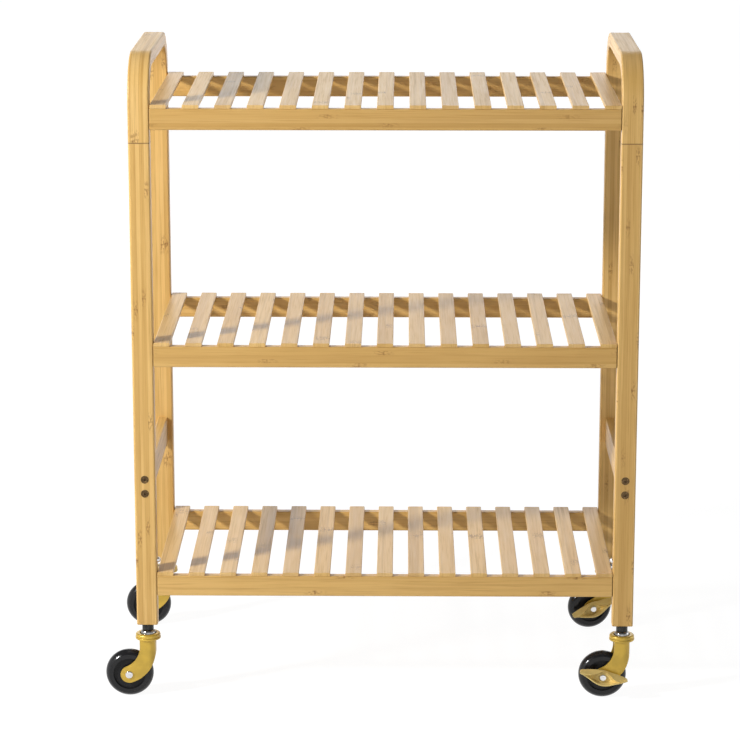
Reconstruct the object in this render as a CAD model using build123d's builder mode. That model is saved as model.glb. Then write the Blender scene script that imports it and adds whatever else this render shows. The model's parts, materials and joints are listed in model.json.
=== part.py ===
from build123d import *
import os

# Rolling utility cart: three slatted bamboo shelves between two side frames with bent
# handles, on four swivel castors. Millimetres, +Z up, +X to the right, +Y to the rear.
# The origin is on the floor, midway between the side frames and between front and rear.

os.makedirs("parts", exist_ok=True)

# ---------------------------------------------------------------- side frames
frame_width = 620.0            # over the outer faces of the two side frames
frame_depth = 300.0            # over the front faces of the front posts and the rear of the rear ones
handle_rise = 63.0             # rail tops of the top shelf to the top of the handles
post_width = 26.0              # along X, also the width of the handles
post_depth = 18.0              # along Y, also the thickness of the handles
handle_bend_radius = 60.0      # outer radius where a post turns into the handle
frame_edge_round = 2.0
post_foot_chamfer = 0.7

# ---------------------------------------------------------------- shelves
bottom_shelf_rise = 64.5       # feet of the posts to the rail tops of the lowest shelf
shelf_spacing = 293.0
rail_height = 26.0
rail_thickness = 12.0
rail_edge_round = 1.5
slat_count = 15
slat_width = 20.0
slat_thickness = 4.5
slat_edge_round = 1.0
slat_side_gap = 0.5            # between the outermost slats and the posts

# ---------------------------------------------------------------- crossbars low in the side frames
crossbar_height = 34.0
crossbar_thickness = 12.0
crossbar_rise = 115.0          # rail tops of the lowest shelf to the middle of the crossbars
crossbar_edge_round = 1.5

# ---------------------------------------------------------------- fasteners
fastener_clearance = 0.1       # radial, around shanks and heads
dowel_clearance = 0.05         # radial, around glued dowels, brads and pressed inserts
head_recess = 0.4              # bolt heads sit this far below the surface of the wood
socket_depth = 2.4             # hex socket in every bolt head

crossbar_bolt_spacing = 18.0
crossbar_bolt_diameter = 6.0
crossbar_bolt_head_diameter = 10.0
crossbar_bolt_head_height = 4.0
crossbar_bolt_socket = 4.0     # across the flats
crossbar_insert_diameter = 8.5

shelf_bolt_drop = 3.0          # below the middle of the rail, clear of the brads
shelf_bolt_diameter = 5.0
shelf_bolt_head_diameter = 9.0
shelf_bolt_head_height = 3.6
shelf_bolt_socket = 3.0        # across the flats
shelf_insert_diameter = 7.0

insert_length = 14.0
bolt_reach = 12.0              # how far a bolt runs into its insert

dowel_diameter = 8.0
dowel_length = 35.0
dowel_end_gap = 0.5            # free depth in the hole beyond each end of a dowel
dowel_bolt_gap = 4.0           # from the top of the dowels to the heads of the top shelf's bolts
dowel_spacing = 12.0

brad_diameter = 1.4
brad_length = 15.0
brad_sink = 0.5                # brad heads are set below the top of the slat

dome_screw_rise = 18.5         # rail tops of the lowest shelf to the screws in the front posts
dome_screw_diameter = 4.0
dome_screw_length = 14.0
dome_screw_head_diameter = 7.0
dome_screw_head_height = 4.2
dome_screw_head_round = 3.2

# ---------------------------------------------------------------- castors
wheel_diameter = 60.0
wheel_width = 18.0
tyre_shoulder_radius = 25.0    # where the round tread meets the flat side of the tyre
hub_radius = 20.0
hub_recess = 3.0               # the disc of the hub lies this far inside the sides of the tyre
hub_boss_radius = 8.0
hub_fillet = 1.2
hub_boss_stand = 0.6           # the hub's boss stands this far outside the tyre
bush_wall = 1.0
axle_diameter = 6.0
axle_running_clearance = 0.05
axle_head_radius = 5.0
axle_head_height = 2.4
axle_head_round = 2.2

castor_turns = {               # degrees that each castor stands turned, seen from above
    ("front", "left"): 0.0,
    ("front", "right"): 0.0,
    ("rear", "left"): 0.0,
    ("rear", "right"): 15.0,
}
fork_trail = 23.7              # the axle lies this far behind the swivel axis
fork_leg_gap = 0.3             # between the ends of the hub and the legs
fork_sheet = 2.0
fork_neck_width = 19.7
fork_neck_round = 8.0          # the closed side of the neck, seen from above
fork_boss_radius = 10.8        # rounded end of each leg, around the axle
fork_outer_bend_height = 31.0  # above the axle, where the leg's outer edge starts to curve
fork_inner_bend_height = 36.0  # above the axle, where the leg's inner edge starts to curve
fork_crown_thickness = 2.5
fork_edge_round = 0.7
flange_radius = 15.8
flange_thickness = 2.6
flange_rise = 47.6             # axle to the top of the flange

race_ring_radius = 15.5
race_ring_bore = 10.5
race_ring_height = 4.6
race_ring_top_round = 2.2
race_ring_foot_round = 0.8

castor_nut_radius = 7.2
castor_nut_height = 7.5
stem_diameter = 8.0
stem_length = 28.0             # the part that stands in the post
socket_wall = 1.6
socket_length = 32.0
kingpin_running_clearance = 0.05
kingpin_head_radius = 6.5
kingpin_head_height = 2.4
kingpin_end_gap = 0.3

ball_diameter = 3.0
ball_count = 10
ball_circle_radius = 6.7
ball_gap = 0.35                # between the balls and the top of the fork
ball_seat_gap = 0.05
cone_height = 6.0
cone_top_radius = 5.6
cone_foot_radius = 9.4
cone_foot_thickness = 1.0

# ---------------------------------------------------------------- brake pedals on the right castors
pedal_presses = {"front": 0.0, "rear": 30.0}  # degrees that each pedal's left wing is pressed down
pedal_gap = 0.3                # to the fork leg on one side and the axle head on the other
pedal_boss_radius = 6.5
pedal_boss_length = 4.0
pedal_sheet = 1.2
pedal_depth = 10.0             # how far the wings stand out to the front
pedal_plate_left = -9.0        # sides of the upright plate, measured from the axle
pedal_plate_right = 11.0
pedal_plate_top = 10.5
pedal_plate_bottom = -6.8
pedal_plate_right_top = 5.2    # top of the right wing where it leaves the plate
pedal_left_tip = -29.0
pedal_left_tip_height = 12.0
pedal_right_tip = 31.0
pedal_right_tip_height = -0.8
pedal_tip_drop = 1.0           # the tips fall this much towards the front
pedal_tip_taper = 2.0          # the tips are this much shorter, front to rear, than the wings

# ---------------------------------------------------------------- derived places
post_x = (frame_width - post_width) / 2
post_y = (frame_depth - post_depth) / 2
rail_length = frame_width - 2 * post_width
rail_y = (frame_depth - rail_thickness) / 2
crossbar_length = frame_depth - 2 * post_depth
slat_pitch = (rail_length - 2 * slat_side_gap - slat_width) / (slat_count - 1)
wheel_radius = wheel_diameter / 2
axle_height = wheel_radius
axle_radius = axle_diameter / 2
hub_half_length = wheel_width / 2 + hub_boss_stand
leg_inner = hub_half_length + fork_leg_gap
leg_outer = leg_inner + fork_sheet
beyond_wheel = 2 * (fork_trail + wheel_radius)  # from the swivel axis to well past the wheel
fork_right = fork_trail + fork_neck_width / 2
fork_outer_radius = (fork_right**2 + fork_outer_bend_height**2 - fork_boss_radius**2) / (
    2 * (fork_right - fork_boss_radius)
)
# The rounded corners of the neck leave the legs this much shorter than the outline at the back, so
# the closed back ends at the height above the axle where the outline has drawn in as far.
leg_corner_loss = fork_neck_round - (fork_neck_round**2 - (fork_neck_round - fork_sheet) ** 2) ** 0.5
fork_back_height = fork_outer_bend_height - (
    fork_outer_radius**2 - (fork_outer_radius - leg_corner_loss) ** 2
) ** 0.5
flange_top_height = axle_height + flange_rise
neck_top_height = flange_top_height - flange_thickness
crown_bottom_height = neck_top_height - fork_crown_thickness
cone_bottom_height = flange_top_height + ball_gap + ball_diameter + ball_seat_gap
nut_bottom_height = cone_bottom_height + cone_height
post_foot_height = nut_bottom_height + castor_nut_height

pedal_back = leg_outer + pedal_gap
pedal_plate_back = pedal_back + pedal_boss_length
pedal_plate_front = pedal_plate_back + pedal_sheet
pedal_front = pedal_plate_front + pedal_depth

bottom_shelf_height = post_foot_height + bottom_shelf_rise
shelf_heights = {
    "bottom": bottom_shelf_height,
    "middle": bottom_shelf_height + shelf_spacing,
    "top": bottom_shelf_height + 2 * shelf_spacing,
}
sides = {"left": -1, "right": 1}
ends = {"front": -1, "rear": 1}
corners = [(end, side) for end in ends for side in sides]
crossbar_center_height = bottom_shelf_height + crossbar_rise
crossbar_bolt_heights = [
    crossbar_center_height - crossbar_bolt_spacing / 2,
    crossbar_center_height + crossbar_bolt_spacing / 2,
]
shelf_bolt_heights = [height - rail_height / 2 - shelf_bolt_drop for height in shelf_heights.values()]
dome_screw_height = bottom_shelf_height + dome_screw_rise

frame_height = shelf_heights["top"] + handle_rise
dowel_top_height = shelf_bolt_heights[-1] - shelf_bolt_head_diameter / 2 - dowel_bolt_gap
handle_seam_height = dowel_top_height - dowel_length / 2


def save(piece, node):
    """Label a finished piece and write its STEP file."""
    piece.label = node
    export_step(piece, f"parts/{node}.step")


def post_center(end, side):
    """Middle of a post in plan."""
    return sides[side] * post_x, ends[end] * post_y


def swivel_plane(end, side, height):
    """Level plane on a castor's swivel axis."""
    x, y = post_center(end, side)
    return Plane(origin=(x, y, height))


def axle_plane(end, side, forward=0.0):
    """Upright plane through a castor's axle, facing the front, moved forward of the wheel's middle."""
    x, y = post_center(end, side)
    return Plane(origin=(x - fork_trail, y - forward, axle_height), x_dir=(1, 0, 0), z_dir=(0, -1, 0))


def turned(piece, end, side):
    """A castor's piece, turned about the swivel axis as that castor stands."""
    x, y = post_center(end, side)
    return piece.rotate(Axis((x, y, 0), (0, 0, 1)), castor_turns[end, side])


# ---------------------------------------------------------------- bolts, as planes at the bolt heads
def crossbar_bolt_planes(end, side):
    """Planes on the outer face of a post, one for each crossbar bolt, facing outwards."""
    x = sides[side] * post_x
    y = ends[end] * frame_depth / 2
    return [
        Plane(origin=(x, y, z), x_dir=(1, 0, 0), z_dir=(0, ends[end], 0)) for z in crossbar_bolt_heights
    ]


def shelf_bolt_planes(end, side):
    """Planes on the outer side of a post, one for each shelf bolt, facing outwards."""
    x = sides[side] * frame_width / 2
    y = ends[end] * rail_y
    return [
        Plane(origin=(x, y, z), x_dir=(0, 1, 0), z_dir=(sides[side], 0, 0)) for z in shelf_bolt_heights
    ]


def dome_screw_plane(side):
    """Plane on the inner side of a front post, at the dome screw, facing the middle of the cart."""
    x = sides[side] * rail_length / 2
    return Plane(origin=(x, -post_y, dome_screw_height), x_dir=(0, 1, 0), z_dir=(-sides[side], 0, 0))


def cut_bolt_hole(plane, shank_diameter, head_diameter, head_height, depth):
    """Counterbored hole for one bolt, cut into the part that is being built."""
    with BuildSketch(plane) as shank:
        Circle(shank_diameter / 2 + fastener_clearance)
    extrude(shank.sketch, amount=-depth, mode=Mode.SUBTRACT)
    with BuildSketch(plane) as head:
        Circle(head_diameter / 2 + fastener_clearance)
    extrude(head.sketch, amount=-(head_height + head_recess), mode=Mode.SUBTRACT)


def cut_shelf_bolt_hole(plane):
    """Hole for a shelf bolt, right through a post or the foot of a handle."""
    cut_bolt_hole(
        plane,
        shelf_bolt_diameter,
        shelf_bolt_head_diameter,
        shelf_bolt_head_height,
        post_width,
    )


def add_bolt(plane, shank_diameter, head_diameter, head_height, socket_size, length):
    """One socket-head bolt, its head just below the surface that the plane lies on."""
    head_plane = plane.offset(-head_recess)
    with BuildSketch(head_plane) as head_rim:
        Circle(head_diameter / 2)
        RegularPolygon(socket_size / 2, 6, major_radius=False, mode=Mode.SUBTRACT)
    extrude(head_rim.sketch, amount=-socket_depth)
    with BuildSketch(head_plane.offset(-socket_depth)) as head_floor:
        Circle(head_diameter / 2)
    extrude(head_floor.sketch, amount=-(head_height - socket_depth))
    with BuildSketch(head_plane.offset(-head_height)) as shank:
        Circle(shank_diameter / 2)
    extrude(shank.sketch, amount=-length)


def add_insert(plane, outer_diameter, bore_diameter):
    """One threaded sleeve, its mouth on the plane, running inwards."""
    with BuildSketch(plane) as ring:
        Circle(outer_diameter / 2)
        Circle(bore_diameter / 2, mode=Mode.SUBTRACT)
    extrude(ring.sketch, amount=-insert_length)


crossbar_bolt_shank = post_depth - head_recess - crossbar_bolt_head_height + bolt_reach
shelf_bolt_shank = post_width - head_recess - shelf_bolt_head_height + bolt_reach

# ---------------------------------------------------------------- posts
for end, side in corners:
    x, y = post_center(end, side)
    with BuildPart() as post:
        with BuildSketch(Plane.XY.offset(post_foot_height)):
            with Locations((x, y)):
                RectangleRounded(post_width, post_depth, frame_edge_round)
        extrude(amount=handle_seam_height - post_foot_height)
        chamfer(post.edges().group_by(Axis.Z)[0], post_foot_chamfer)
        for plane in crossbar_bolt_planes(end, side):
            cut_bolt_hole(
                plane,
                crossbar_bolt_diameter,
                crossbar_bolt_head_diameter,
                crossbar_bolt_head_height,
                post_depth,
            )
        for plane in shelf_bolt_planes(end, side):
            cut_shelf_bolt_hole(plane)
        if end == "front":
            with BuildSketch(dome_screw_plane(side)):
                Circle(dome_screw_diameter / 2 + dowel_clearance)
            extrude(amount=-(dome_screw_length + dowel_end_gap), mode=Mode.SUBTRACT)
        with Locations((x, y, post_foot_height)):
            Cylinder(
                stem_diameter / 2 + socket_wall + dowel_clearance,
                socket_length,
                align=(Align.CENTER, Align.CENTER, Align.MIN),
                mode=Mode.SUBTRACT,
            )
        with Locations((x, y, handle_seam_height)):
            with GridLocations(dowel_spacing, 0, 2, 1):
                Cylinder(
                    dowel_diameter / 2 + dowel_clearance,
                    dowel_length / 2 + dowel_end_gap,
                    align=(Align.CENTER, Align.CENTER, Align.MAX),
                    mode=Mode.SUBTRACT,
                )
    save(post.part, f"{end}_{side}_post")

# ---------------------------------------------------------------- bent handles
for side in sides:
    front_face = -frame_depth / 2
    rear_face = frame_depth / 2
    with BuildPart() as handle:
        with BuildSketch(Plane.YZ.offset(sides[side] * post_x - post_width / 2)):
            with BuildLine():
                FilletPolyline(
                    (front_face, handle_seam_height),
                    (front_face, frame_height),
                    (rear_face, frame_height),
                    (rear_face, handle_seam_height),
                    radius=handle_bend_radius,
                )
                Line((rear_face, handle_seam_height), (rear_face - post_depth, handle_seam_height))
                FilletPolyline(
                    (rear_face - post_depth, handle_seam_height),
                    (rear_face - post_depth, frame_height - post_depth),
                    (front_face + post_depth, frame_height - post_depth),
                    (front_face + post_depth, handle_seam_height),
                    radius=handle_bend_radius - post_depth,
                )
                Line((front_face + post_depth, handle_seam_height), (front_face, handle_seam_height))
            make_face()
        extrude(amount=post_width)
        seam_edges = handle.edges().group_by(Axis.Z)[0]
        side_edges = handle.faces().sort_by(Axis.X)[0].edges() + handle.faces().sort_by(Axis.X)[-1].edges()
        fillet([edge for edge in side_edges if edge not in seam_edges], frame_edge_round)
        with Locations((sides[side] * post_x, 0, handle_seam_height)):
            with GridLocations(dowel_spacing, 2 * post_y, 2, 2):
                Cylinder(
                    dowel_diameter / 2 + dowel_clearance,
                    dowel_length / 2 + dowel_end_gap,
                    align=(Align.CENTER, Align.CENTER, Align.MIN),
                    mode=Mode.SUBTRACT,
                )
        for end in ends:
            for plane in shelf_bolt_planes(end, side):
                cut_shelf_bolt_hole(plane)
    save(handle.part, f"{side}_handle")

with BuildPart() as handle_dowels:
    for end, side in corners:
        x, y = post_center(end, side)
        with Locations((x, y, handle_seam_height)):
            with GridLocations(dowel_spacing, 0, 2, 1):
                Cylinder(dowel_diameter / 2, dowel_length)
save(handle_dowels.part, "handle_dowels")

# ---------------------------------------------------------------- crossbars and their bolts
for side in sides:
    with BuildPart() as crossbar:
        with BuildSketch(Plane.XZ):
            with Locations((sides[side] * post_x, crossbar_center_height)):
                RectangleRounded(crossbar_thickness, crossbar_height, crossbar_edge_round)
        extrude(amount=crossbar_length / 2, both=True)
        for end in ends:
            for plane in crossbar_bolt_planes(end, side):
                with BuildSketch(plane.offset(-post_depth)):
                    Circle(crossbar_insert_diameter / 2 + dowel_clearance)
                extrude(amount=-insert_length, mode=Mode.SUBTRACT)
    save(crossbar.part, f"{side}_crossbar")

with BuildPart() as crossbar_bolts:
    for end, side in corners:
        for plane in crossbar_bolt_planes(end, side):
            add_bolt(
                plane,
                crossbar_bolt_diameter,
                crossbar_bolt_head_diameter,
                crossbar_bolt_head_height,
                crossbar_bolt_socket,
                crossbar_bolt_shank,
            )
save(crossbar_bolts.part, "crossbar_bolts")

with BuildPart() as crossbar_inserts:
    for end, side in corners:
        for plane in crossbar_bolt_planes(end, side):
            bore_diameter = crossbar_bolt_diameter + 2 * dowel_clearance
            add_insert(plane.offset(-post_depth), crossbar_insert_diameter, bore_diameter)
save(crossbar_inserts.part, "crossbar_inserts")

# ---------------------------------------------------------------- shelves
for shelf, height in shelf_heights.items():
    for end in ends:
        with BuildPart() as rail:
            with Locations((0, ends[end] * rail_y, height)):
                Box(rail_length, rail_thickness, rail_height, align=(Align.CENTER, Align.CENTER, Align.MAX))
            fillet(rail.edges(), rail_edge_round)
            for side in sides:
                for plane in shelf_bolt_planes(end, side):
                    if abs(plane.origin.Z - height) < rail_height:
                        with BuildSketch(plane.offset(-post_width)):
                            Circle(shelf_insert_diameter / 2 + dowel_clearance)
                        extrude(amount=-insert_length, mode=Mode.SUBTRACT)
            with Locations((0, ends[end] * rail_y, height + slat_thickness - brad_sink)):
                with GridLocations(slat_pitch, 0, slat_count, 1):
                    Cylinder(
                        brad_diameter / 2 + dowel_clearance,
                        brad_length,
                        align=(Align.CENTER, Align.CENTER, Align.MAX),
                        mode=Mode.SUBTRACT,
                    )
        save(rail.part, f"{shelf}_{end}_rail")

    with BuildPart() as slats:
        with BuildSketch(Plane.XZ):
            with Locations((0, height + slat_thickness / 2)):
                with GridLocations(slat_pitch, 0, slat_count, 1):
                    RectangleRounded(slat_width, slat_thickness, slat_edge_round)
        extrude(amount=frame_depth / 2, both=True)
        with Locations((0, 0, height)):
            with GridLocations(slat_pitch, 2 * rail_y, slat_count, 2):
                Cylinder(
                    brad_diameter / 2 + dowel_clearance,
                    slat_thickness,
                    align=(Align.CENTER, Align.CENTER, Align.MIN),
                    mode=Mode.SUBTRACT,
                )
    save(slats.part, f"{shelf}_slats")

with BuildPart() as slat_brads:
    for height in shelf_heights.values():
        with Locations((0, 0, height + slat_thickness - brad_sink)):
            with GridLocations(slat_pitch, 2 * rail_y, slat_count, 2):
                Cylinder(brad_diameter / 2, brad_length, align=(Align.CENTER, Align.CENTER, Align.MAX))
save(slat_brads.part, "slat_brads")

with BuildPart() as shelf_bolts:
    for end, side in corners:
        for plane in shelf_bolt_planes(end, side):
            add_bolt(
                plane,
                shelf_bolt_diameter,
                shelf_bolt_head_diameter,
                shelf_bolt_head_height,
                shelf_bolt_socket,
                shelf_bolt_shank,
            )
save(shelf_bolts.part, "shelf_bolts")

with BuildPart() as shelf_inserts:
    for end, side in corners:
        for plane in shelf_bolt_planes(end, side):
            bore_diameter = shelf_bolt_diameter + 2 * dowel_clearance
            add_insert(plane.offset(-post_width), shelf_insert_diameter, bore_diameter)
save(shelf_inserts.part, "shelf_inserts")

with BuildPart() as dome_screws:
    for side in sides:
        plane = dome_screw_plane(side)
        with BuildSketch(plane):
            Circle(dome_screw_head_diameter / 2)
        extrude(amount=dome_screw_head_height)
        with BuildSketch(plane):
            Circle(dome_screw_diameter / 2)
        extrude(amount=-dome_screw_length)
    rims = dome_screws.edges().filter_by(GeomType.CIRCLE).filter_by_position(
        Axis.X,
        -rail_length / 2 + dome_screw_head_height,
        rail_length / 2 - dome_screw_head_height,
    )
    fillet(rims, dome_screw_head_round)
save(dome_screws.part, "dome_screws")

# ---------------------------------------------------------------- castor stems, sockets and bearings
with BuildPart() as castor_sockets:
    for end, side in corners:
        with BuildSketch(swivel_plane(end, side, post_foot_height)):
            Circle(stem_diameter / 2 + socket_wall)
            Circle(stem_diameter / 2 + dowel_clearance, mode=Mode.SUBTRACT)
        extrude(amount=socket_length)
save(castor_sockets.part, "castor_sockets")

with BuildPart() as castor_stems:
    for end, side in corners:
        with BuildSketch(swivel_plane(end, side, nut_bottom_height)):
            Circle(castor_nut_radius)
        extrude(amount=castor_nut_height)
        with BuildSketch(swivel_plane(end, side, post_foot_height)):
            Circle(stem_diameter / 2)
        extrude(amount=stem_length)
        with BuildSketch(swivel_plane(end, side, nut_bottom_height)):
            Circle(stem_diameter / 2)
        extrude(amount=-(nut_bottom_height - crown_bottom_height + kingpin_end_gap))
        with BuildSketch(swivel_plane(end, side, crown_bottom_height - kingpin_end_gap)):
            Circle(kingpin_head_radius)
        extrude(amount=-kingpin_head_height)
save(castor_stems.part, "castor_stems")

with BuildPart() as bearing_cones:
    for end, side in corners:
        swivel = swivel_plane(end, side, 0)
        bore_radius = stem_diameter / 2 + dowel_clearance
        with BuildSketch(Plane(origin=swivel.origin, x_dir=(1, 0, 0), z_dir=(0, -1, 0))):
            with BuildLine():
                Polyline(
                    (bore_radius, nut_bottom_height),
                    (bore_radius, cone_bottom_height),
                    (cone_foot_radius, cone_bottom_height),
                    (cone_foot_radius, cone_bottom_height + cone_foot_thickness),
                )
                TangentArc(
                    (cone_foot_radius, cone_bottom_height + cone_foot_thickness),
                    (cone_top_radius, nut_bottom_height),
                    tangent=(0, 1),
                )
                Line((cone_top_radius, nut_bottom_height), (bore_radius, nut_bottom_height))
            make_face()
        revolve(axis=Axis(swivel.origin, (0, 0, 1)))
save(bearing_cones.part, "bearing_cones")

with BuildPart() as bearing_balls:
    for end, side in corners:
        x, y = post_center(end, side)
        with Locations((x, y, flange_top_height + ball_gap + ball_diameter / 2)):
            with PolarLocations(ball_circle_radius, ball_count):
                Sphere(ball_diameter / 2)
save(bearing_balls.part, "bearing_balls")


# ---------------------------------------------------------------- forks
def fork_outline(plane):
    """Outline of a leg and the neck, seen from the front, with the axle at the plane's origin."""
    right = fork_right
    left = fork_trail - fork_neck_width / 2
    top = neck_top_height - axle_height
    boss = fork_boss_radius
    inner_radius = (left**2 + fork_inner_bend_height**2 - boss**2) / (2 * (left + boss))
    outer_center = Vector(right - fork_outer_radius, fork_outer_bend_height)
    inner_center = Vector(left - inner_radius, fork_inner_bend_height)
    outer_touch = outer_center.normalized() * -boss
    inner_touch = inner_center.normalized() * boss
    boss_middle = (outer_touch + inner_touch).normalized() * boss
    with BuildSketch(plane) as outline:
        with BuildLine():
            Line((left, top), (right, top))
            Line((right, top), (right, fork_outer_bend_height))
            TangentArc((right, fork_outer_bend_height), outer_touch, tangent=(0, -1))
            ThreePointArc(outer_touch, boss_middle, inner_touch)
            TangentArc((left, fork_inner_bend_height), inner_touch, tangent=(0, -1))
            Line((left, fork_inner_bend_height), (left, top))
        make_face()
    return outline.sketch


def neck_plan(end, side, shrink):
    """Plan of the neck at floor level, closed and rounded on its right, open past the wheel on its left."""
    x, y = post_center(end, side)
    half_depth = leg_outer - shrink
    right = x + fork_neck_width / 2 - shrink
    far_left = x - beyond_wheel
    with BuildSketch() as plan:
        with BuildLine():
            FilletPolyline(
                (far_left, y - half_depth),
                (right, y - half_depth),
                (right, y + half_depth),
                (far_left, y + half_depth),
                radius=fork_neck_round - shrink,
            )
            Line((far_left, y + half_depth), (far_left, y - half_depth))
        make_face()
    return plan.sketch


for end, side in corners:
    with BuildPart() as fork:
        extrude(fork_outline(axle_plane(end, side)), amount=leg_outer, both=True)
        extrude(neck_plan(end, side, 0), amount=neck_top_height, mode=Mode.INTERSECT)
        extrude(neck_plan(end, side, fork_sheet), amount=crown_bottom_height, mode=Mode.SUBTRACT)
        with BuildSketch(axle_plane(end, side)):
            with Locations((fork_trail, fork_back_height)):
                Rectangle(2 * beyond_wheel, beyond_wheel, align=(Align.CENTER, Align.MAX))
        extrude(amount=leg_inner, both=True, mode=Mode.SUBTRACT)
        with BuildSketch(axle_plane(end, side)):
            Circle(axle_radius + dowel_clearance)
        extrude(amount=leg_outer, both=True, mode=Mode.SUBTRACT)
        swivel = swivel_plane(end, side, neck_top_height).origin
        with BuildSketch(Plane(origin=swivel, x_dir=(1, 0, 0), z_dir=(0, -1, 0))) as flange:
            Rectangle(flange_radius, flange_thickness, align=Align.MIN)
            fillet(flange.vertices().group_by(Axis.X)[-1], fork_edge_round)
        revolve(axis=Axis(swivel, (0, 0, 1)))
        with BuildSketch(swivel_plane(end, side, flange_top_height)):
            Circle(stem_diameter / 2 + kingpin_running_clearance)
        extrude(amount=crown_bottom_height - flange_top_height, mode=Mode.SUBTRACT)
    save(turned(fork.part, end, side), f"{end}_{side}_fork")

    with BuildPart() as race_ring:
        with BuildSketch(swivel_plane(end, side, flange_top_height)):
            Circle(race_ring_radius)
            Circle(race_ring_bore, mode=Mode.SUBTRACT)
        extrude(amount=race_ring_height)
        fillet(race_ring.edges().group_by(Axis.Z)[-1].sort_by(SortBy.RADIUS)[-1], race_ring_top_round)
        fillet(race_ring.edges().group_by(Axis.Z)[0].sort_by(SortBy.RADIUS)[-1], race_ring_foot_round)
    save(turned(race_ring.part, end, side), f"{end}_{side}_race_ring")

    # The axle rivet is longer where it carries a brake pedal.
    has_brake = side == "right"
    front_seat = pedal_plate_front + pedal_gap if has_brake else leg_outer
    with BuildPart() as axle:
        with BuildSketch(axle_plane(end, side, front_seat)):
            Circle(axle_radius)
        extrude(amount=-(front_seat + leg_outer))
        for seat, outward in ((front_seat, 1), (-leg_outer, -1)):
            with BuildSketch(axle_plane(end, side, seat)):
                Circle(axle_head_radius)
            extrude(amount=outward * axle_head_height)
        front_rim = axle.edges().group_by(Axis.Y)[0]
        rear_rim = axle.edges().group_by(Axis.Y)[-1]
        fillet(front_rim + rear_rim, axle_head_round)
    save(turned(axle.part, end, side), f"{end}_{side}_axle_rivet")

    # The wheel is a bush, a hub and a tyre.
    center = axle_plane(end, side).origin
    spin_axis = Axis(center, (0, 1, 0))
    profile_plane = Plane(origin=center, x_dir=(0, 1, 0), z_dir=(1, 0, 0))
    half_width = wheel_width / 2
    bush_bore = axle_radius + axle_running_clearance
    with BuildPart() as bush:
        with BuildSketch(axle_plane(end, side)):
            Circle(bush_bore + bush_wall)
            Circle(bush_bore, mode=Mode.SUBTRACT)
        extrude(amount=hub_half_length, both=True)
    save(turned(bush.part, end, side), f"{end}_{side}_wheel_bush")

    with BuildPart() as hub:
        with BuildSketch(axle_plane(end, side)):
            Circle(hub_radius)
        extrude(amount=half_width - hub_recess, both=True)
        with BuildSketch(axle_plane(end, side)):
            Circle(hub_boss_radius)
        extrude(amount=hub_half_length, both=True)
        fillet(hub.edges().group_by(Axis.Y)[0] + hub.edges().group_by(Axis.Y)[-1], hub_fillet)
        with BuildSketch(axle_plane(end, side)):
            Circle(bush_bore + bush_wall)
        extrude(amount=hub_half_length, both=True, mode=Mode.SUBTRACT)
    save(turned(hub.part, end, side), f"{end}_{side}_wheel_hub")

    with BuildPart() as tyre:
        with BuildSketch(profile_plane):
            with BuildLine():
                Line((-half_width, tyre_shoulder_radius), (-half_width, hub_radius))
                Line((-half_width, hub_radius), (half_width, hub_radius))
                Line((half_width, hub_radius), (half_width, tyre_shoulder_radius))
                ThreePointArc(
                    (half_width, tyre_shoulder_radius),
                    (0, wheel_radius),
                    (-half_width, tyre_shoulder_radius),
                )
            make_face()
        revolve(axis=spin_axis)
    save(turned(tyre.part, end, side), f"{end}_{side}_tyre")

# ---------------------------------------------------------------- brake pedals
for end in ends:
    x, y = post_center(end, "right")
    axle_x = x - fork_trail
    back = y - pedal_plate_back
    front = y - pedal_front
    plate_width = pedal_plate_right - pedal_plate_left
    plate_middle = (pedal_plate_left + pedal_plate_right) / 2
    with BuildPart() as pedal:
        with BuildSketch(axle_plane(end, "right", pedal_back)):
            Circle(pedal_boss_radius)
        extrude(amount=pedal_boss_length)
        with BuildSketch(axle_plane(end, "right", pedal_plate_back)):
            with Locations((plate_middle, pedal_plate_bottom)):
                plate_height = pedal_plate_top - pedal_plate_bottom
                Rectangle(plate_width, plate_height, align=(Align.CENTER, Align.MIN))
        extrude(amount=pedal_sheet)
        with BuildSketch(axle_plane(end, "right", pedal_plate_back)):
            with Locations((plate_middle, pedal_plate_bottom)):
                Rectangle(plate_width, pedal_sheet, align=(Align.CENTER, Align.MIN))
        extrude(amount=pedal_sheet + pedal_depth)
        wings = (
            (pedal_plate_left, pedal_plate_top, pedal_left_tip, pedal_left_tip_height),
            (pedal_plate_right, pedal_plate_right_top, pedal_right_tip, pedal_right_tip_height),
        )
        for root_x, root_top, tip_x, tip_height in wings:
            root_bottom = pedal_plate_bottom + pedal_sheet
            root = Vector(axle_x + root_x, 0, axle_height)
            tip = Vector(axle_x + tip_x, 0, axle_height)
            with BuildSketch(Plane(origin=root, x_dir=(0, 1, 0), z_dir=(1, 0, 0))):
                with BuildLine():
                    Polyline(
                        (back, root_top),
                        (front, root_bottom),
                        (front, root_bottom - pedal_sheet),
                        (back, root_top - 2 * pedal_sheet),
                        close=True,
                    )
                make_face()
            with BuildSketch(Plane(origin=tip, x_dir=(0, 1, 0), z_dir=(1, 0, 0))):
                with BuildLine():
                    Polyline(
                        (back, tip_height),
                        (front + pedal_tip_taper, tip_height - pedal_tip_drop),
                        (front + pedal_tip_taper, tip_height - pedal_tip_drop - pedal_sheet),
                        (back, tip_height - pedal_sheet),
                        close=True,
                    )
                make_face()
            loft()
        with BuildSketch(axle_plane(end, "right", pedal_back)):
            Circle(axle_radius + axle_running_clearance)
        extrude(amount=pedal_boss_length + pedal_sheet, mode=Mode.SUBTRACT)
    axle_line = Axis((axle_x, y, axle_height), (0, -1, 0))
    pressed_pedal = pedal.part.rotate(axle_line, pedal_presses[end])
    save(turned(pressed_pedal, end, "right"), f"{end}_right_brake_pedal")
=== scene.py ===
"""A rolling utility cart: slatted bamboo shelves between two bent-handle side frames, on castors.

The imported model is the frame: its boards, bolts and castor parts keep their shapes and places, and
this script finishes their surfaces, adds the pressed brake pedals, and sets up a small studio.
"""

import json
import math

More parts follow.
